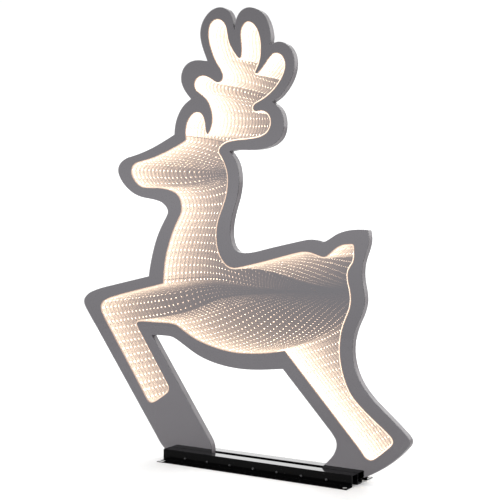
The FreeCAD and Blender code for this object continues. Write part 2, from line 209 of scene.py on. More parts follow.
class Effect(ABC):
    """A surface effect that more than one finish uses, kept as one node group."""

    name: str
    inputs: tuple[tuple[str, str, float], ...]
    outputs: tuple[tuple[str, str], ...]

    def group(self) -> bpy.types.NodeTree:
        """Make the effect's node group the first time that it is asked for.

        Returns:
            The group.
        """
        found = bpy.data.node_groups.get(self.name)
        if found:
            return found
        tree = bpy.data.node_groups.new(self.name, "ShaderNodeTree")
        for label, kind, start in self.inputs:
            socket = tree.interface.new_socket(label, in_out="INPUT", socket_type=kind)
            socket.default_value = start
        for label, kind in self.outputs:
            tree.interface.new_socket(label, in_out="OUTPUT", socket_type=kind)
        sheet = ShaderSheet(tree)
        self.lay_out(sheet, sheet.add("NodeGroupInput"), sheet.add("NodeGroupOutput"))
        return tree

    def use(self, sheet: ShaderSheet, **values: float) -> Node:
        """Place the group in a material.

        Args:
            sheet: the material's nodes.
            values: the group's inputs, with a low line for each space in their names.

        Returns:
            The group's node.
        """
        node = sheet.add("ShaderNodeGroup", node_tree=self.group())
        for label, value in values.items():
            node.inputs[label.replace("_", " ").title()].default_value = value
        return node

    @abstractmethod
    def lay_out(self, sheet: ShaderSheet, given: Node, result: Node) -> None:
        """Fill the group.

        Args:
            sheet: the group's nodes.
            given: the node that holds its inputs.
            result: the node that takes its outputs.
        """


class Mottle(Effect):
    """Slow, cloudy unevenness with a finer layer over it."""

    name = "mottle"
    inputs = (("Coarse", "NodeSocketFloat", 30.0), ("Fine", "NodeSocketFloat", 400.0))
    outputs = (("Shade", "NodeSocketFloat"), ("Grain", "NodeSocketFloat"))
    usual_span = (0.3, 0.7)

    def lay_out(self, sheet: ShaderSheet, given: Node, result: Node) -> None:
        """Two layers of noise.

        Args:
            sheet: the group's nodes.
            given: the node that holds its inputs.
            result: the node that takes its outputs.
        """
        slow = sheet.noise(1.0, 3.0)
        quick = sheet.noise(1.0, 4.0)
        sheet.tree.links.new(given.outputs["Coarse"], slow.node.inputs["Scale"])
        sheet.tree.links.new(given.outputs["Fine"], quick.node.inputs["Scale"])
        sheet.tree.links.new(sheet.spread(slow, *self.usual_span, 0.0, 1.0), result.inputs["Shade"])
        sheet.tree.links.new(sheet.spread(quick, *self.usual_span, 0.0, 1.0), result.inputs["Grain"])


class Dust(Effect):
    """Fine dust specks and faint wiping marks."""

    name = "dust_and_wipes"
    inputs = (("Speck Scale", "NodeSocketFloat", 260.0), ("Wipe Scale", "NodeSocketFloat", 9.0))
    outputs = (("Specks", "NodeSocketFloat"), ("Wipes", "NodeSocketFloat"))
    cluster_scale = 160.0
    cluster_share = 0.6
    speck_radius = 0.12
    wipe_slant = (0.0, 0.6, 0.0)
    wipe_squeeze = (1.0, 1.0, 6.0)
    wipe_span = (0.5, 0.75)

    def lay_out(self, sheet: ShaderSheet, given: Node, result: Node) -> None:
        """Small spots at random places, and long stretched clouds.

        Args:
            sheet: the group's nodes.
            given: the node that holds its inputs.
            result: the node that takes its outputs.
        """
        cells = sheet.add("ShaderNodeTexVoronoi", {"Vector": sheet.place(), "Randomness": 1.0})
        sheet.tree.links.new(given.outputs["Speck Scale"], cells.inputs["Scale"])
        rare = sheet.math("GREATER_THAN", sheet.noise(self.cluster_scale, 1.0), self.cluster_share)
        spots = sheet.math("LESS_THAN", cells.outputs["Distance"], self.speck_radius)
        specks = sheet.math("MULTIPLY", spots, rare)
        turned = sheet.add(
            "ShaderNodeMapping",
            {"Vector": sheet.place(), "Rotation": self.wipe_slant, "Scale": self.wipe_squeeze},
        )
        wipes = sheet.noise(1.0, 5.0, turned.outputs[0])
        sheet.tree.links.new(given.outputs["Wipe Scale"], wipes.node.inputs["Scale"])
        sheet.tree.links.new(specks, result.inputs["Specks"])
        sheet.tree.links.new(sheet.spread(wipes, *self.wipe_span, 0.0, 1.0), result.inputs["Wipes"])


class EdgeWear(Effect):
    """A mask along the edges, broken up as rubbed paint is."""

    name = "edge_wear"
    inputs = (("Reach", "NodeSocketFloat", 0.0006), ("Bite", "NodeSocketFloat", 0.5))
    outputs = (("Worn", "NodeSocketFloat"),)
    bevel_samples = 4
    flat_match = 1.0
    edge_match = 0.86
    patch_scale = 900.0
    patch_span = (0.55, 0.75)

    def lay_out(self, sheet: ShaderSheet, given: Node, result: Node) -> None:
        """Where a rounded normal leaves the true one, less a noise.

        Args:
            sheet: the group's nodes.
            given: the node that holds its inputs.
            result: the node that takes its outputs.
        """
        rounded = sheet.add("ShaderNodeBevel", samples=self.bevel_samples)
        sheet.tree.links.new(given.outputs["Reach"], rounded.inputs["Radius"])
        flat = sheet.add("ShaderNodeNewGeometry").outputs["True Normal"]
        match = sheet.vector("DOT_PRODUCT", rounded.outputs[0], flat)
        edge = sheet.spread(match, self.flat_match, self.edge_match, 0.0, 1.0)
        rough = sheet.math("ADD", edge, sheet.noise(self.patch_scale, 5.0))
        patchy = sheet.math("SUBTRACT", rough, given.outputs["Bite"])
        worn = sheet.math("MULTIPLY", sheet.spread(patchy, *self.patch_span, 0.0, 1.0), edge)
        sheet.tree.links.new(worn, result.inputs["Worn"])


class OrangePeel(Effect):
    """The slight ripple of a sprayed or moulded skin."""

    name = "orange_peel"
    inputs = (("Scale", "NodeSocketFloat", 700.0),)
    outputs = (("Height", "NodeSocketFloat"),)
    soft_scale = 500.0

    def lay_out(self, sheet: ShaderSheet, given: Node, result: Node) -> None:
        """Smooth cells softened by noise.

        Args:
            sheet: the group's nodes.
            given: the node that holds its inputs.
            result: the node that takes its outputs.
        """
        cells = sheet.add("ShaderNodeTexVoronoi", {"Vector": sheet.place()}, feature="SMOOTH_F1")
        sheet.tree.links.new(given.outputs["Scale"], cells.inputs["Scale"])
        height = sheet.math("ADD", cells.outputs["Distance"], sheet.noise(self.soft_scale, 2.0))
        sheet.tree.links.new(height, result.inputs["Height"])


@dataclass(frozen=True)
class Finish(ABC):
    """What a surface is made of and how it is finished."""

    name: str

    def material(self) -> bpy.types.Material:
        """Make the finish's material the first time that it is asked for.

        Returns:
            The material.
        """
        found = bpy.data.materials.get(self.name)
        if found:
            return found
        material = bpy.data.materials.new(self.name)
        material.use_nodes = True
        sheet = ShaderSheet(material.node_tree)
        surface = self.lay_out(sheet)
        sheet.add("ShaderNodeOutputMaterial", {"Surface": surface})
        self.settle(material)
        return material

    def settle(self, material: bpy.types.Material) -> None:
        """Set the material's own options.

        Args:
            material: the material that has just been laid out.
        """

    @abstractmethod
    def lay_out(self, sheet: ShaderSheet) -> Socket:
        """Lay out the finish's nodes.

        Args:
            sheet: the material's nodes.

        Returns:
            The shader's output.
        """


@dataclass(frozen=True)
class Dish:
    """A shallow hollow where a sheet is drawn in towards the other, in metres."""

    x: float
    z: float
    half_width: float
    half_height: float
    depth: float


@dataclass(frozen=True)
class MirrorSheet(Finish):
    """A thin clear sheet, half silvered: it mirrors inwards and lets some of the light out."""

    name: str = "half_silvered_sheet"
    surface_tint: Colour = (0.318, 0.306, 0.325)
    mirrored_share: float = 0.5
    passing: Colour = (0.5, 0.5, 0.5)
    inner_tint: Colour = (0.875, 0.868, 0.865)
    edge_colour: Colour = (0.035, 0.034, 0.037)
    edge_gloss: tuple[float, float] = (0.15, 0.4)
    edge_reflection: float = 0.35
    face_gloss: tuple[float, float] = (0.012, 0.05)
    saw_scale: float = 300.0
    dishes: tuple[Dish, ...] = (
        Dish(98.0 * MM, 344.0 * MM, 66.0 * MM, 54.0 * MM, 0.34 * MM),
        Dish(-42.0 * MM, 338.0 * MM, 88.0 * MM, 48.0 * MM, 0.62 * MM),
        Dish(-160.0 * MM, 380.0 * MM, 40.0 * MM, 50.0 * MM, 0.30 * MM),
        Dish(-144.0 * MM, 500.0 * MM, 30.0 * MM, 75.0 * MM, 0.16 * MM),
        Dish(-118.0 * MM, 588.0 * MM, 52.0 * MM, 32.0 * MM, 0.42 * MM),
        Dish(-30.0 * MM, 716.0 * MM, 40.0 * MM, 45.0 * MM, 0.26 * MM),
    )

    def bowed(self, sheet: ShaderSheet, flat: Socket) -> Socket:
        """The normal of a face that is drawn in slightly wherever it spans a wide part of the window.

        Args:
            sheet: the material's nodes.
            flat: the flat face's normal.

        Returns:
            The tilted normal.
        """
        place = sheet.place()
        normal = flat
        for dish in self.dishes:
            away = sheet.vector("SUBTRACT", place, (dish.x, 0.0, dish.z))
            scaled = sheet.vector("MULTIPLY", away, (1.0 / dish.half_width, 0.0, 1.0 / dish.half_height))
            reach = sheet.vector("DOT_PRODUCT", scaled, scaled)
            fall = sheet.math("EXPONENT", sheet.math("MULTIPLY", reach, -0.5))
            steepness = (dish.depth / dish.half_width, 0.0, dish.depth / dish.half_height)
            slope = sheet.vector("MULTIPLY", scaled, steepness)
            tilt = sheet.add("ShaderNodeVectorMath", {0: slope, "Scale": fall}, operation="SCALE").outputs[0]
            normal = sheet.vector("ADD", normal, tilt)
        return sheet.vector("NORMALIZE", normal)

    def lay_out(self, sheet: ShaderSheet) -> Socket:
        """A mirror on the inner face, a partial one on the outer, and a dark polished edge.

        Args:
            sheet: the material's nodes.

        Returns:
            The shader's output.
        """
        geometry = sheet.add("ShaderNodeNewGeometry")
        dust = Dust().use(sheet, speck_scale=420.0, wipe_scale=7.0)
        smear = sheet.math("ADD", dust.outputs["Specks"], dust.outputs["Wipes"])
        gloss = sheet.spread(smear, 0.0, 2.0, *self.face_gloss)
        outer = sheet.add(
            "ShaderNodeBsdfPrincipled",
            {"Base Color": rgba(self.surface_tint), "Metallic": 1.0, "Roughness": gloss},
        )
        clear = sheet.add("ShaderNodeBsdfTransparent", {"Color": rgba(self.passing)})
        halves = {0: self.mirrored_share, 1: clear.outputs[0], 2: outer.outputs[0]}
        half = sheet.add("ShaderNodeMixShader", halves)
        inner = sheet.add(
            "ShaderNodeBsdfPrincipled",
            {
                "Base Color": rgba(self.inner_tint),
                "Metallic": 1.0,
                "Roughness": 0.0,
                "Normal": self.bowed(sheet, geometry.outputs["True Normal"]),
            },
        )
        depth = sheet.add("ShaderNodeSeparateXYZ", {0: sheet.place()}).outputs["Y"]
        outside = sheet.math("GREATER_THAN", sheet.math("ABSOLUTE", depth), Depth.between())
        face = sheet.add("ShaderNodeMixShader", {0: outside, 1: inner.outputs[0], 2: half.outputs[0]})
        lines = sheet.noise(self.saw_scale, 3.0)
        edge = sheet.add(
            "ShaderNodeBsdfPrincipled",
            {
                "Base Color": rgba(self.edge_colour),
                "Roughness": sheet.spread(lines, *Mottle.usual_span, *self.edge_gloss),
                "Specular IOR Level": self.edge_reflection,
            },
        )
        across = sheet.add("ShaderNodeSeparateXYZ", {0: geometry.outputs["True Normal"]}).outputs["Y"]
        is_edge = sheet.math("LESS_THAN", sheet.math("ABSOLUTE", across), 0.5)
        front = sheet.add("ShaderNodeMixShader", {0: is_edge, 1: face.outputs[0], 2: edge.outputs[0]})
        behind = geometry.outputs["Backfacing"]
        through = sheet.add("ShaderNodeBsdfTransparent")
        whole = sheet.add("ShaderNodeMixShader", {0: behind, 1: front.outputs[0], 2: through.outputs[0]})
        return whole.outputs[0]


@dataclass(frozen=True)
class CutBoard(Finish):
    """Foamed plastic board with a sawn edge."""

    name: str = "sawn_board"
    colour: Colour = (0.14, 0.125, 0.135)
    dark: Colour = (0.09, 0.08, 0.087)
    groove_scale: float = 900.0
    groove_depth: float = 0.05 * MM
    roughness: tuple[float, float] = (0.28, 0.42)
    reflection: float = 0.35

    def lay_out(self, sheet: ShaderSheet) -> Socket:
        """Fine cutter marks across the edge over a mottled grey.

        Args:
            sheet: the material's nodes.

        Returns:
            The shader's output.
        """
        mottle = Mottle().use(sheet, coarse=25.0, fine=700.0)
        colour = sheet.blend(mottle.outputs["Shade"], rgba(self.dark), rgba(self.colour))
        cuts = sheet.noise(self.groove_scale, 2.0)
        height = sheet.math("ADD", cuts, mottle.outputs["Grain"])
        inputs = {
            "Base Color": colour,
            "Roughness": sheet.spread(mottle.outputs["Grain"], 0.0, 1.0, *self.roughness),
            "Specular IOR Level": self.reflection,
            "Normal": sheet.bump(height, self.groove_depth, 0.5),
        }
        return sheet.add("ShaderNodeBsdfPrincipled", inputs).outputs[0]


@dataclass(frozen=True)
class Mottled(Finish):
    """A plain part with slight unevenness in its colour, its sheen and its surface."""

    colour: Colour = (0.5, 0.5, 0.5)
    dark: Colour = (0.4, 0.4, 0.4)
    roughness: tuple[float, float] = (0.4, 0.55)
    metallic: float = 0.0
    coarse: float = 60.0
    fine: float = 900.0
    relief: float = 0.02 * MM

    def lay_out(self, sheet: ShaderSheet) -> Socket:
        """Cloudy colour, grainy sheen and a fine relief.

        Args:
            sheet: the material's nodes.

        Returns:
            The shader's output.
        """
        mottle = Mottle().use(sheet, coarse=self.coarse, fine=self.fine)
        inputs = {
            "Base Color": sheet.blend(mottle.outputs["Shade"], rgba(self.dark), rgba(self.colour)),
            "Roughness": sheet.spread(mottle.outputs["Grain"], 0.0, 1.0, *self.roughness),
            "Metallic": self.metallic,
            "Normal": sheet.bump(mottle.outputs["Grain"], self.relief, 0.6),
        }
        return sheet.add("ShaderNodeBsdfPrincipled", inputs).outputs[0]


@dataclass(frozen=True)
class GlossBlack(Finish):
    """Stove-enamelled steel: gloss black over a slight orange peel, rubbed at its edges."""

    name: str = "gloss_black_enamel"
    colour: Colour = (0.0015, 0.0015, 0.0017)
    bare: Colour = (0.05, 0.05, 0.052)
    dust: Colour = (0.35, 0.34, 0.33)
    dust_share: float = 0.35
    roughness: tuple[float, float] = (0.07, 0.2)
    peel_depth: float = 0.012 * MM
    refraction: float = 1.15

    def lay_out(self, sheet: ShaderSheet) -> Socket:
        """Enamel with dust and worn edges.

        Args:
            sheet: the material's nodes.

        Returns:
            The shader's output.
        """
        worn = EdgeWear().use(sheet, reach=0.0005, bite=0.62).outputs["Worn"]
        dust = Dust().use(sheet, speck_scale=500.0, wipe_scale=14.0)
        peel = OrangePeel().use(sheet, scale=650.0).outputs["Height"]
        dusty = sheet.math("MULTIPLY", dust.outputs["Specks"], self.dust_share)
        colour = sheet.blend(dusty, rgba(self.colour), rgba(self.dust))
        dull = sheet.math("ADD", dust.outputs["Wipes"], worn)
        inputs = {
            "Base Color": sheet.blend(worn, colour, rgba(self.bare)),
            "Roughness": sheet.spread(dull, 0.0, 1.0, *self.roughness),
            "Normal": sheet.bump(peel, self.peel_depth, 0.5),
            "IOR": self.refraction,
        }
        return sheet.add("ShaderNodeBsdfPrincipled", inputs).outputs[0]


@dataclass(frozen=True)
class BrightPlate(Finish):
    """Plated steel or brass with fine turning marks and a little tarnish."""

    colour: Colour = (0.72, 0.72, 0.74)
    tarnish: Colour = (0.45, 0.44, 0.43)
    roughness: tuple[float, float] = (0.18, 0.36)
    rubbed: Colour = (0.86, 0.86, 0.88)
    relief: float = 0.01 * MM

    def lay_out(self, sheet: ShaderSheet) -> Socket:
        """A bright metal with cloudy tarnish, brighter where it is rubbed.

        Args:
            sheet: the material's nodes.

        Returns:
            The shader's output.
        """
        mottle = Mottle().use(sheet, coarse=220.0, fine=2600.0)
        worn = EdgeWear().use(sheet, reach=0.0003, bite=0.5).outputs["Worn"]
        base = sheet.blend(mottle.outputs["Shade"], rgba(self.tarnish), rgba(self.colour))
        inputs = {
            "Base Color": sheet.blend(worn, base, rgba(self.rubbed)),
            "Metallic": 1.0,
            "Roughness": sheet.spread(mottle.outputs["Grain"], 0.0, 1.0, *self.roughness),
            "Normal": sheet.bump(mottle.outputs["Grain"], self.relief, 0.4),
        }
        return sheet.add("ShaderNodeBsdfPrincipled", inputs).outputs[0]


@dataclass(frozen=True)
class Glowing(Finish):
    """A lamp's warm light, or painted glow on a part that only catches the lamps' light."""

    body_colour: Colour = (0.8, 0.75, 0.6)
    light: Colour = (1.0, 0.83, 0.62)
    strength: float = 1.0
    uneven: float = 0.0
    roughness: float = 0.35
    aimed: bool = False
    sheen_spread: float = 0.15

    def settle(self, material: bpy.types.Material) -> None:
        """Choose whether the lamp is among the lights that are aimed at one by one."""
        material.cycles.emission_sampling = "FRONT_BACK" if self.aimed else "NONE"

    def lay_out(self, sheet: ShaderSheet) -> Socket:
        """Warm light, from a lamp or as painted glow, with a cloudy unevenness.

        Args:
            sheet: the material's nodes.

        Returns:
            The shader's output.
        """
        mottle = Mottle().use(sheet, coarse=110.0, fine=1500.0)
        dull = self.roughness + self.sheen_spread
        shade = sheet.spread(mottle.outputs["Shade"], 0.0, 1.0, 1.0 - self.uneven, 1.0)
        dim = tuple(channel * (1.0 - self.uneven) for channel in self.light)
        inputs = {
            "Base Color": rgba(self.body_colour),
            "Roughness": sheet.spread(mottle.outputs["Grain"], 0.0, 1.0, self.roughness, dull),
            "Emission Color": sheet.blend(shade, rgba(dim), rgba(self.light)),
            "Emission Strength": self.strength,
        }
        return sheet.add("ShaderNodeBsdfPrincipled", inputs).outputs[0]


SHEET = MirrorSheet()
CORE = CutBoard()
TAPE = Mottled("black_bonding_tape", (0.02, 0.02, 0.021), (0.012, 0.012, 0.013), (0.6, 0.8))
ENAMEL = GlossBlack()
RUBBER = Mottled("black_rubber", (0.022, 0.022, 0.023), (0.014, 0.014, 0.015), (0.55, 0.75))
ZINC = BrightPlate("black_zinc_plate", (0.10, 0.10, 0.105), (0.04, 0.04, 0.042), (0.22, 0.4))
STEEL_TUBE = BrightPlate("drawn_steel_tube", (0.5, 0.5, 0.51), (0.32, 0.31, 0.3), (0.25, 0.45))
NYLON = Mottled("white_nylon", (0.72, 0.71, 0.67), (0.62, 0.61, 0.57), (0.4, 0.55))
SOCKET_PLASTIC = Mottled("black_socket_plastic", (0.02, 0.02, 0.022), (0.013, 0.013, 0.014), (0.3, 0.5))
BRASS = BrightPlate("brass_contact", (0.82, 0.62, 0.27), (0.5, 0.34, 0.13), (0.2, 0.4))
RED_WIRE = Mottled("red_wire_insulation", (0.42, 0.02, 0.015), (0.33, 0.014, 0.012), (0.35, 0.5))
BLACK_WIRE = Mottled("black_wire_insulation", (0.02, 0.02, 0.02), (0.012, 0.012, 0.012), (0.35, 0.5))
WHITE_RESIN = (0.75, 0.70, 0.64)
CLEAR_RESIN = (0.30, 0.27, 0.22)
# Painted glow: the link wire is no lamp; its emission stands in for the lamps' light caught in it.
PAINTED_GLOW_WIRE = Glowing("clear_wire_painted_glow", (0.55, 0.40, 0.22), (1.0, 0.74, 0.55), 4.0, 0.3)
# Painted glow: the strip boards are no lamps; their emission stands in for the lamps' light on them, in a
# bright, a middling and a dim copy.
PAINTED_BRIGHT_GLOW_BOARD = Glowing("strip_board_painted_bright_glow", WHITE_RESIN, (1.0, 0.78, 0.58), 8.5, 0.25)
PAINTED_GLOW_BOARD = Glowing("strip_board_painted_glow", WHITE_RESIN, (1.0, 0.74, 0.54), 4.4, 0.25)
PAINTED_DIM_GLOW_BOARD = Glowing("strip_board_painted_dim_glow", WHITE_RESIN, (1.0, 0.73, 0.53), 2.9, 0.25)
# Painted glow: the resin beads are no lamps; their emission stands in for the lamps' light shining through
# them, in a bright and a plainer copy.
PAINTED_BRIGHT_GLOW_BEAD = Glowing("resin_bead_painted_bright_glow", CLEAR_RESIN, (1.0, 0.80, 0.60), 6.4, 0.3, 0.12)
PAINTED_GLOW_BEAD = Glowing("resin_bead_painted_glow", CLEAR_RESIN, (1.0, 0.76, 0.55), 3.8, 0.3, 0.12)
# Painted glow: the seal line is no lamp; its emission stands in for the lamps' light caught at the window's
# edge.
PAINTED_GLOW_SEAL = Glowing("seal_line_painted_glow", (0.30, 0.24, 0.18), (1.0, 0.60, 0.36), 2.5, 0.35, 0.12)
PACKAGE = Glowing("lamp_package", (0.75, 0.72, 0.66), (1.0, 0.80, 0.60), 5.5, 0.2, 0.35)
LAMP = Glowing("warm_lamp_window", (0.80, 0.62, 0.16), (1.0, 0.86, 0.68), 170.0, 0.15, 0.2, True)
RESISTOR = Mottled("resistor_black", (0.03, 0.03, 0.032), (0.02, 0.02, 0.021), (0.25, 0.4))
TIN = BrightPlate("solder_tin", (0.75, 0.75, 0.76), (0.55, 0.55, 0.55), (0.25, 0.45))
FLOOR = Mottled("pale_floor", (0.98, 0.98, 0.98), (0.96, 0.96, 0.96), (0.7, 0.8))

# Which copy of the painted glow each strip's board and bead get: the brighter and dimmer copies stand in for
# more or less lamp light, not a different material.
STRIPS = {
    "antlers": (PAINTED_BRIGHT_GLOW_BOARD, PAINTED_BRIGHT_GLOW_BEAD),
    "back": (PAINTED_GLOW_BOARD, PAINTED_GLOW_BEAD),
    "rump": (PAINTED_BRIGHT_GLOW_BOARD, PAINTED_BRIGHT_GLOW_BEAD),
    "belly": (PAINTED_DIM_GLOW_BOARD, PAINTED_GLOW_BEAD),
    "front_leg": (PAINTED_DIM_GLOW_BOARD, PAINTED_GLOW_BEAD),
    "head": (PAINTED_GLOW_BOARD, PAINTED_GLOW_BEAD),
}


def deselect() -> None:
    """Drop whatever is selected, in object mode."""
    if bpy.context.mode != "OBJECT":
        bpy.ops.object.mode_set(mode="OBJECT")
    bpy.ops.object.select_all(action="DESELECT")


class Workpiece:
    """A piece being modelled: a primitive that is then shaped in edit mode."""

    def __init__(
        self, primitive: Callable[..., set[str]], stretch: tuple[float, float, float], **settings: object
    ) -> None:
        """Add the primitive and stretch it to size.

        Args:
            primitive: the operator that adds it.
            stretch: how much longer it gets along each axis.
            settings: the operator's own sizes.
        """
        deselect()
        primitive(**settings)
        self.piece = bpy.context.active_object
        self.piece.scale = stretch
        bpy.ops.object.transform_apply(location=True, rotation=True, scale=True)

    def hold(self) -> None:
        """Select this piece alone and make it the active one."""
        deselect()
        self.piece.select_set(True)
        bpy.context.view_layer.objects.active = self.piece

    def clear(self, kind: str) -> None:
        """Have nothing picked.

        Args:
            kind: FACE or EDGE, what is picked next.
        """
        self.hold()
        bpy.ops.object.mode_set(mode="EDIT")
        bpy.ops.mesh.select_mode(type=kind)
        bpy.ops.mesh.select_all(action="DESELECT")
        bpy.ops.object.mode_set(mode="OBJECT")

    def pick_faces(self, wanted: Callable[[Vector, Vector], bool]) -> None:
        """Pick faces by where they are, and go into edit mode.

        Args:
            wanted: tells from a face's middle and normal whether to pick it.
        """
        self.clear("FACE")
        for face in self.piece.data.polygons:
            face.select = wanted(face.center, face.normal)
        bpy.ops.object.mode_set(mode="EDIT")

    def pick_edges(self, wanted: Callable[[Vector, Vector], bool]) -> None:
        """Pick edges by where they are, and go into edit mode.

        Args:
            wanted: tells from an edge's two ends whether to pick it.
        """
        self.clear("EDGE")
        corners = self.piece.data.vertices
        for edge in self.piece.data.edges:
            first, second = edge.vertices
            edge.select = wanted(corners[first].co, corners[second].co)
        bpy.ops.object.mode_set(mode="EDIT")

    def less(self, tool: "Workpiece") -> None:
        """Cut another piece out of this one.

        Args:
            tool: the piece that is cut out, which is used up.
        """
        self.hold()
        cut = self.piece.modifiers.new("cut", "BOOLEAN")
        cut.operation = "DIFFERENCE"
        cut.object = tool.piece
        bpy.ops.object.modifier_apply(modifier=cut.name)
        bpy.data.objects.remove(tool.piece)

    def with_added(self, other: "Workpiece") -> None:
        """Join another piece to this one.

        Args:
            other: the piece that is joined on, which is used up.
        """
        self.hold()
        other.piece.select_set(True)
        bpy.ops.object.join()

    def set_out(self, places: Iterable[Matrix]) -> bpy.types.Object:
        """Copy the finished pattern to each place and keep the copies as one piece.

        Args:
            places: where each copy stands.

        Returns:
            The piece, with its place in its mesh.
        """
        copies = []
        for place in places:
            copy = self.piece.copy()
            copy.data = self.piece.data.copy()
            copy.matrix_world = place
            bpy.context.scene.collection.objects.link(copy)
            copies.append(copy)
        bpy.data.objects.remove(self.piece)
        deselect()
        for copy in copies:
            copy.select_set(True)
        bpy.context.view_layer.update()
        bpy.context.view_layer.objects.active = copies[0]
        bpy.ops.object.join()
        bpy.ops.object.transform_apply(location=True, rotation=True, scale=True)
        return bpy.context.active_object

    def smooth(self, angle: float = 40.0) -> None:
        """Shade it smooth, but for its corners.

        Args:
            angle: the sharpest corner that is still shaded smooth, in degrees.
        """
        self.hold()
        bpy.ops.object.shade_smooth_by_angle(angle=math.radians(angle))


@dataclass
class Assembly(ABC):
    """Part of the reindeer, with the carried-over solids that it dresses and the pieces that it adds."""

    nodes: dict[str, bpy.types.Object]

    def dress(self, finish: Finish, *names: str) -> None:
        """Give carried-over solids a finish.

        Args:
            finish: the finish.
            names: the solids' names.
        """
        for name in names:
            for slot in self.nodes[name].material_slots:
                slot.material = finish.material()
            log.info("dressed %s in %s", name, finish.name)

    def add(self, piece: bpy.types.Object, name: str, finish: Finish, slot: str) -> bpy.types.Object:
        """Name a finished piece, give it its finish and fix it to the reindeer.

        Args:
            piece: the modelled piece.
            name: what it is called.
            finish: its finish.
            slot: not used.

        Returns:
            The same piece.
        """
        piece.name = name
        piece.data.name = name
        piece.data.materials.clear()
        piece.data.materials.append(finish.material())
        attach(piece, BODY)
        log.info("built %s: %d faces", name, len(piece.data.polygons))
        return piece

    @abstractmethod
    def build(self) -> None:
        """Dress the solids and model the pieces."""


@dataclass
class MirrorPanel(Assembly):
    """Two half-silvered sheets bonded to a board cut to the reindeer's outline."""

    def build(self) -> None:
        """Dress the sandwich."""
        self.dress(SHEET, "front_mirror_sheet", "rear_mirror_sheet")
        self.dress(TAPE, "front_bond_tape", "rear_bond_tape")
        # The seal lines get a painted glow, standing in for lamp light caught at the window's edge.
        self.dress(PAINTED_GLOW_SEAL, "front_seal_line", "rear_seal_line")
        self.dress(CORE, "core_frame")


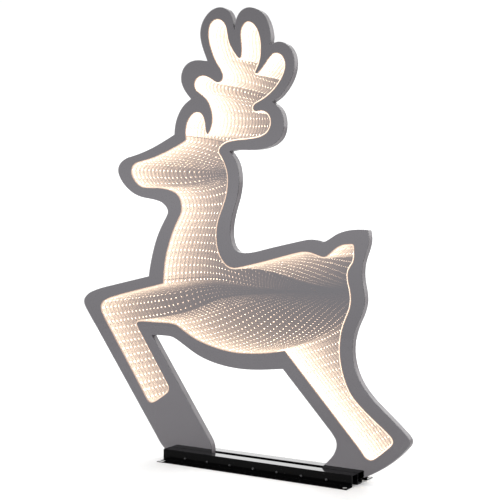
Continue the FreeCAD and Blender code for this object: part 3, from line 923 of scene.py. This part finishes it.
@dataclass
class LightStrips(Assembly):
    """Six lengths of strip round the inside of the window."""

    chip_height: float = 0.8 * MM
    window_size: tuple[float, float, float] = (2.4 * MM, 1.8 * MM, 0.12 * MM)
    resistor_size: tuple[float, float, float] = (2.0 * MM, 1.25 * MM, 0.5 * MM)
    resistor_offset: float = 6.0 * MM
    chips_to_a_resistor: int = 3
    window_corner: float = 0.4 * MM
    window_rim: float = 0.35 * MM
    body_rim: float = 0.15 * MM
    body_hollow: float = 0.04 * MM
    cap_length: float = 0.4 * MM
    cap_corner: float = 0.12 * MM
    solder_length: float = 0.35 * MM
    solder_height: float = 0.2

    def build(self) -> None:
        """Dress the boards, beads and links in painted glow, and set out the lamps' windows and the
        resistors.
        """
        # Each board and bead gets a painted glow standing in for the lamps' light on it.
        for part, (board, bead) in STRIPS.items():
            self.dress(board, f"led_strip_{part}")
            self.dress(bead, f"strip_gel_{part}")
            self.dress(PACKAGE, f"led_chips_{part}")
            lamps = self.lamp_places(part)
            self.add(self.windows(lamps), f"lamp_windows_{part}", LAMP, "led_chip")
            seats = self.resistor_places(part, lamps)
            self.add(self.resistor_bodies(seats), f"resistor_bodies_{part}", RESISTOR, "strip_board")
            self.add(self.resistor_caps(seats), f"resistor_caps_{part}", TIN, "link_wire")
        # The link wires get a painted glow standing in for the lamps' light.
        self.dress(PAINTED_GLOW_WIRE, "strip_link_wires")

    def standing(self, foot: Vector, out: Vector) -> Matrix:
        """The place of something that stands on a strip.

        Args:
            foot: the middle of its underside.
            out: the way that it faces.

        Returns:
            Its place, with X along the strip and Z away from the wall.
        """
        across = Vector((0.0, 1.0, 0.0))
        along = across.cross(out).normalized()
        turn = Matrix((along, across, out)).transposed().to_4x4()
        return Matrix.Translation(foot) @ turn

    def lamp_places(self, part: str) -> list[Matrix]:
        """Where the outer face of each lamp is, read off the chips' own solids.

        Args:
            part: the strip's name.

        Returns:
            The places, in order along the strip.
        """
        mesh = self.nodes[f"led_chips_{part}"].data
        board = self.nodes[f"led_strip_{part}"]
        places = []
        for corners in self.blocks(mesh):
            middle = sum(corners, Vector()) / len(corners)
            foot = board.closest_point_on_mesh(middle)[1]
            out = (middle - foot).normalized()
            places.append(self.standing(middle + out * self.chip_height / 2, out))
        return places

    def blocks(self, mesh: bpy.types.Mesh) -> list[list[Vector]]:
        """The corners of each separate block in a mesh of loose triangles.

        Args:
            mesh: the blocks' mesh.

        Returns:
            One list of different corners for each block.
        """
        owner: dict[tuple[int, ...], int] = {}
        groups: dict[int, dict[tuple[int, ...], Vector]] = {}
        for face in mesh.polygons:
            points = [mesh.vertices[index].co for index in face.vertices]
            corners = {tuple(round(c / MM * 100) for c in point): point for point in points}
            joined = sorted({owner[key] for key in corners if key in owner})
            home = joined[0] if joined else face.index
            group = groups.setdefault(home, {})
            for other in joined[1:]:
                group.update(groups.pop(other))
            group.update(corners)
            owner.update(dict.fromkeys(group, home))
        return [list(group.values()) for group in groups.values()]

    def resistor_places(self, part: str, lamps: list[Matrix]) -> list[Matrix]:
        """Where the resistors sit on a board: one beside every third lamp.

        Args:
            part: the strip's name.
            lamps: the places of its lamps.

        Returns:
            The places of the resistors' undersides.
        """
        board = self.nodes[f"led_strip_{part}"]
        places = []
        for lamp in lamps[1 :: self.chips_to_a_resistor]:
            near = lamp @ Vector((self.resistor_offset, 0.0, 0.0))
            foot, out = board.closest_point_on_mesh(near)[1:3]
            facing = out if out.dot(lamp.to_3x3() @ Vector((0.0, 0.0, 1.0))) > 0.0 else -out
            places.append(self.standing(foot, Vector((facing.x, 0.0, facing.z)).normalized()))
        return places

    def windows(self, places: list[Matrix]) -> bpy.types.Object:
        """The rounded, slightly domed resin windows of the lamps.

        Args:
            places: where the lamps' faces are.

        Returns:
            The windows as one piece.
        """
        height = self.window_size[2]
        seat = (0.0, 0.0, height / 2)
        window = Workpiece(bpy.ops.mesh.primitive_cube_add, self.window_size, size=1.0, location=seat)
        window.pick_edges(lambda a, b: abs(a.z - b.z) > height / 2)
        bpy.ops.mesh.bevel(offset=self.window_corner, segments=2)
        window.pick_faces(lambda middle, normal: normal.z > FACING)
        bpy.ops.mesh.inset(thickness=self.window_rim)
        bpy.ops.transform.translate(value=(0.0, 0.0, height))
        bpy.ops.object.mode_set(mode="OBJECT")
        window.smooth(60.0)
        return window.set_out(places)

    def resistor_bodies(self, places: list[Matrix]) -> bpy.types.Object:
        """The resistors' black bodies.

        Args:
            places: where the resistors sit.

        Returns:
            The bodies as one piece.
        """
        length, width, height = self.resistor_size
        stretch = (length - 2 * self.cap_length, width, height)
        seat = (0.0, 0.0, height / 2)
        body = Workpiece(bpy.ops.mesh.primitive_cube_add, stretch, size=1.0, location=seat)
        body.pick_faces(lambda middle, normal: normal.z > FACING)
        bpy.ops.mesh.inset(thickness=self.body_rim)
        bpy.ops.transform.translate(value=(0.0, 0.0, -self.body_hollow))
        bpy.ops.object.mode_set(mode="OBJECT")
        return body.set_out(places)

    def resistor_caps(self, places: list[Matrix]) -> bpy.types.Object:
        """The tinned caps at both ends of the resistors, with a little solder beside them.

        Args:
            places: where the resistors sit.

        Returns:
            The caps as one piece.
        """
        length, width, height = self.resistor_size
        stretch = (self.cap_length, width, height)
        far = length / 2 - NEARLY
        caps = []
        for side in (-1.0, 1.0):
            seat = (side * (length - self.cap_length) / 2, 0.0, height / 2)
            cap = Workpiece(bpy.ops.mesh.primitive_cube_add, stretch, size=1.0, location=seat)
            cap.pick_edges(lambda a, b, side=side: min(side * a.x, side * b.x) > far and a.z + b.z > height)
            bpy.ops.mesh.bevel(offset=self.cap_corner, segments=1)
            cap.pick_faces(lambda middle, normal, side=side: side * normal.x > FACING)
            reach = (side * self.solder_length, 0.0, 0.0)
            bpy.ops.mesh.extrude_region_move(TRANSFORM_OT_translate={"value": reach})
            bpy.ops.transform.resize(value=(1.0, 1.0, self.solder_height), center_override=(0.0, 0.0, 0.0))
            bpy.ops.object.mode_set(mode="OBJECT")
            caps.append(cap)
        caps[0].with_added(caps[1])
        caps[0].smooth()
        return caps[0].set_out(places)


@dataclass
class PowerInlet(Assembly):
    """The low-voltage socket in the rear hoof and the wires that lead to the strips."""

    def build(self) -> None:
        """Dress the socket and its wires."""
        self.dress(SOCKET_PLASTIC, "power_socket_housing")
        self.dress(BRASS, "power_socket_pin")
        self.dress(RUBBER, "power_socket_gasket")
        self.dress(RED_WIRE, "feed_wire_positive")
        self.dress(BLACK_WIRE, "feed_wire_negative")


@dataclass
class SlottedBase(Assembly):
    """Two folded rails tied together, with a lined slot that the hooves stand in."""

    screw_count: int = 7
    screw_pitch: float = 53.5 * MM
    screw_height: float = 8.0 * MM
    wall_face: float = 32.4 * MM
    head_sides: int = 32
    head_radius: float = 2.6 * MM
    head_height: float = 1.6 * MM
    shank_sides: int = 24
    shank_radius: float = 1.5 * MM
    nut_across_flats: float = 5.5 * MM
    nut_height: float = 2.4 * MM
    thread_end: float = 0.8 * MM
    thread_pitch: float = 0.5 * MM
    thread_root: float = 0.86
    head_rounding: float = 0.95 * MM
    recess_arm: tuple[float, float, float] = (0.62 * MM, 2.0 * MM, 2.8 * MM)
    recess_sink: float = 0.1 * MM
    recess_taper: tuple[float, float] = (0.5, 0.35)
    nut_rim: float = 0.35 * MM
    nut_crown: float = 0.12 * MM
    nut_corner: float = 0.25 * MM

    def build(self) -> None:
        """Dress the rails, the liner and the tubes, and make the screws and nuts."""
        self.dress(ENAMEL, "base_front_rail", "base_rear_rail")
        self.dress(RUBBER, "slot_liner")
        self.dress(STEEL_TUBE, "front_rail_sleeves", "rear_rail_sleeves")
        self.dress(NYLON, "slot_spacers")
        screws = self.add(self.screws(), "cross_recess_screws", ZINC, "plated_steel")
        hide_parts("tie_screws")
        nuts = self.add(self.nuts(), "chamfered_nuts", ZINC, "plated_steel")
        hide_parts("tie_nuts")

    def places(self) -> list[Matrix]:
        """Where the screws' middle lines meet the panel's middle plane.

        Returns:
            The places, from one end of the base to the other.
        """
        middle = (self.screw_count - 1) / 2
        return [
            Matrix.Translation(((i - middle) * self.screw_pitch, 0.0, self.screw_height))
            for i in range(self.screw_count)
        ]

    def rod(self, radius: float, near: float, far: float, sides: int) -> Workpiece:
        """A plain rod along Y.

        Args:
            radius: its radius.
            near: where it starts.
            far: where it ends.
            sides: how many sides it has.

        Returns:
            The rod.
        """
        return Workpiece(
            bpy.ops.mesh.primitive_cylinder_add,
            (1.0, 1.0, 1.0),
            vertices=sides,
            radius=radius,
            depth=far - near,
            location=(0.0, (near + far) / 2, 0.0),
            rotation=(math.radians(90.0), 0.0, 0.0),
        )

    def screws(self) -> bpy.types.Object:
        """Pan-headed screws with a cross recess and a cut thread at the end.

        Returns:
            All the screws as one piece.
        """
        front = -self.wall_face - self.head_height
        head = self.rod(self.head_radius, front, -self.wall_face, self.head_sides)
        head.pick_edges(lambda a, b: max(a.y, b.y) < front + NEARLY)
        bpy.ops.mesh.bevel(offset=self.head_rounding, segments=5)
        bpy.ops.object.mode_set(mode="OBJECT")
        head.smooth()
        for turn in (0.0, 90.0):
            head.less(self.recess_blade(front, turn))
        thread_start = self.wall_face + self.nut_height - 2 * self.thread_pitch
        shank = self.rod(self.shank_radius, -self.wall_face, thread_start, self.shank_sides)
        thread_length = self.nut_height + self.wall_face + self.thread_end - thread_start
        steps = round(thread_length / self.thread_pitch * 2)
        for step in range(steps):
            self.thread_step(shank, thread_start + step * self.thread_pitch / 2, step % 2 == 0)
        shank.smooth()
        head.with_added(shank)
        return head.set_out(self.places())

    def thread_step(self, shank: Workpiece, end: float, inwards: bool) -> None:
        """Draw out half a turn of thread.

        Args:
            shank: the screw's shank.
            end: where it ends now.
            inwards: whether this half narrows to the thread's root or widens to its crest.
        """
        shank.pick_faces(lambda middle, normal: normal.y > FACING and middle.y > end - NEARLY)
        bpy.ops.mesh.extrude_region_move(TRANSFORM_OT_translate={"value": (0.0, self.thread_pitch / 2, 0.0)})
        share = self.thread_root if inwards else 1.0 / self.thread_root
        bpy.ops.transform.resize(value=(share, 1.0, share), center_override=(0.0, end, 0.0))
        bpy.ops.object.mode_set(mode="OBJECT")

    def recess_blade(self, front: float, turn: float) -> Workpiece:
        """One tapered arm of the driver that sinks the cross recess.

        Args:
            front: where the head's front is.
            turn: how far the arm is turned about the screw's line, in degrees.

        Returns:
            The arm.
        """
        blade = Workpiece(
            bpy.ops.mesh.primitive_cube_add,
            self.recess_arm,
            size=1.0,
            location=(0.0, front - self.recess_sink, 0.0),
        )
        blade.pick_faces(lambda middle, normal: normal.y > FACING)
        narrow, low = self.recess_taper
        bpy.ops.transform.resize(value=(narrow, 1.0, low), center_override=(0.0, front, 0.0))
        bpy.ops.object.mode_set(mode="OBJECT")
        blade.piece.rotation_euler = (0.0, math.radians(turn), 0.0)
        blade.hold()
        bpy.ops.object.transform_apply(location=False, rotation=True, scale=False)
        return blade

    def nuts(self) -> bpy.types.Object:
        """Hexagon nuts with chamfered corners and a bore.

        Returns:
            All the nuts as one piece.
        """
        outer = self.wall_face + self.nut_height
        nut = self.rod(self.nut_across_flats / math.sqrt(3.0), self.wall_face, outer, 6)
        nut.pick_faces(lambda middle, normal: normal.y > FACING)
        bpy.ops.mesh.inset(thickness=self.nut_rim)
        bpy.ops.transform.translate(value=(0.0, self.nut_crown, 0.0))
        bpy.ops.object.mode_set(mode="OBJECT")
        nut.pick_edges(lambda a, b: abs(a.y - b.y) > self.nut_height / 2)
        bpy.ops.mesh.bevel(offset=self.nut_corner, segments=2)
        bpy.ops.object.mode_set(mode="OBJECT")
        nut.less(self.rod(self.shank_radius, self.wall_face - MM, outer + MM, self.shank_sides))
        nut.smooth(35.0)
        return nut.set_out(self.places())


@dataclass
class Studio:
    """A white floor, soft light all round and a bright wall behind."""

    floor_size: float = 4.0
    sky: float = 1.03
    horizon: float = 1.42
    wall_distance: float = 4.2
    wall_height: float = 2.0
    wall_size: tuple[float, float] = (9.0, 2.6)
    wall_radiance: float = 3.0
    top_softness: float = 60.0
    top_strength: float = 0.4
    top_turn: tuple[float, float] = (20.0, 12.0)
    band_height: float = 0.17
    floor_drop: float = 0.2 * MM

    def build(self) -> None:
        """Lay the floor and hang the lights."""
        self.floor()
        self.surroundings()
        self.panel_light("wall", Vector((0.0, self.wall_distance, self.wall_height)), math.radians(-90.0))
        self.overhead()

    def floor(self) -> None:
        """A plain pale floor."""
        deselect()
        bpy.ops.mesh.primitive_plane_add(size=self.floor_size, location=(0.0, 0.0, -self.floor_drop))
        floor = bpy.context.active_object
        bpy.ops.object.transform_apply(location=True, rotation=True, scale=True)
        floor.name = "studio_floor"
        floor.data.materials.append(FLOOR.material())

    def surroundings(self) -> None:
        """White light from every side, a little brighter towards the horizon."""
        world = bpy.data.worlds.new("soft_white")
        world.use_nodes = True
        sheet = ShaderSheet(world.node_tree)
        ray = sheet.add("ShaderNodeTexCoord").outputs["Generated"]
        rise = sheet.math("ABSOLUTE", sheet.add("ShaderNodeSeparateXYZ", {0: ray}).outputs["Z"])
        strength = sheet.spread(rise, 0.0, self.band_height, self.horizon, self.sky)
        white = sheet.add("ShaderNodeBackground", {"Color": rgba((1.0, 1.0, 1.0)), "Strength": strength})
        sheet.add("ShaderNodeOutputWorld", {"Surface": white.outputs[0]})
        bpy.context.scene.world = world

    def panel_light(self, name: str, place: Vector, tilt: float) -> None:
        """A large bright wall behind the reindeer.

        Args:
            name: the light's name.
            place: where its middle is.
            tilt: its turn about X.
        """
        data = bpy.data.lights.new(name, "AREA")
        data.shape = "RECTANGLE"
        data.size, data.size_y = self.wall_size
        data.energy = self.wall_radiance * math.pi * self.wall_size[0] * self.wall_size[1]
        lamp = bpy.data.objects.new(name, data)
        lamp.location = place
        lamp.rotation_euler = (tilt, 0.0, 0.0)
        bpy.context.scene.collection.objects.link(lamp)

    def overhead(self) -> None:
        """A soft light from above, a little in front."""
        data = bpy.data.lights.new("overhead", "SUN")
        data.angle = math.radians(self.top_softness)
        data.energy = self.top_strength
        lamp = bpy.data.objects.new("overhead", data)
        lamp.rotation_euler = (*map(math.radians, self.top_turn), 0.0)
        bpy.context.scene.collection.objects.link(lamp)


@dataclass
class Camera:
    """The view from the front, to the tail's side."""

    place: tuple[float, float, float] = (1.1305, -1.8630, 0.5217)
    turn: float = 31.847
    tilt: float = 87.617
    lens: float = 80.68
    sensor: float = 36.0

    def build(self) -> None:
        """Set up the scene's camera."""
        data = bpy.data.cameras.new("camera")
        data.lens = self.lens
        data.sensor_width = self.sensor
        data.clip_start, data.clip_end = 0.01, 100.0
        camera = bpy.data.objects.new("camera", data)
        camera.location = self.place
        camera.rotation_euler = (math.radians(self.tilt), 0.0, math.radians(self.turn))
        bpy.context.scene.collection.objects.link(camera)
        bpy.context.scene.camera = camera


def set_light_paths() -> None:
    """Let a ray bounce often enough to show the mirrors' depth."""
    scene = bpy.context.scene
    scene.view_settings.view_transform = "Standard"
    paths = scene.cycles
    paths.max_bounces = 96
    paths.glossy_bounces = 96
    paths.diffuse_bounces = 2
    paths.transmission_bounces = 8
    paths.transparent_max_bounces = 32
    paths.min_light_bounces = 48
    paths.caustics_reflective = False
    paths.caustics_refractive = False


def main() -> None:
    """Build the reindeer round its frame, light it and aim the camera."""
    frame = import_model()
    nodes = frame["nodes"]
    for assembly in (MirrorPanel, LightStrips, PowerInlet, SlottedBase):
        log.info("building %s", assembly.__name__)
        assembly(nodes).build()
    Studio().build()
    Camera().build()
    set_light_paths()


if __name__ == "__main__":
    logging.basicConfig(level=logging.INFO, format="%(message)s")
    main()
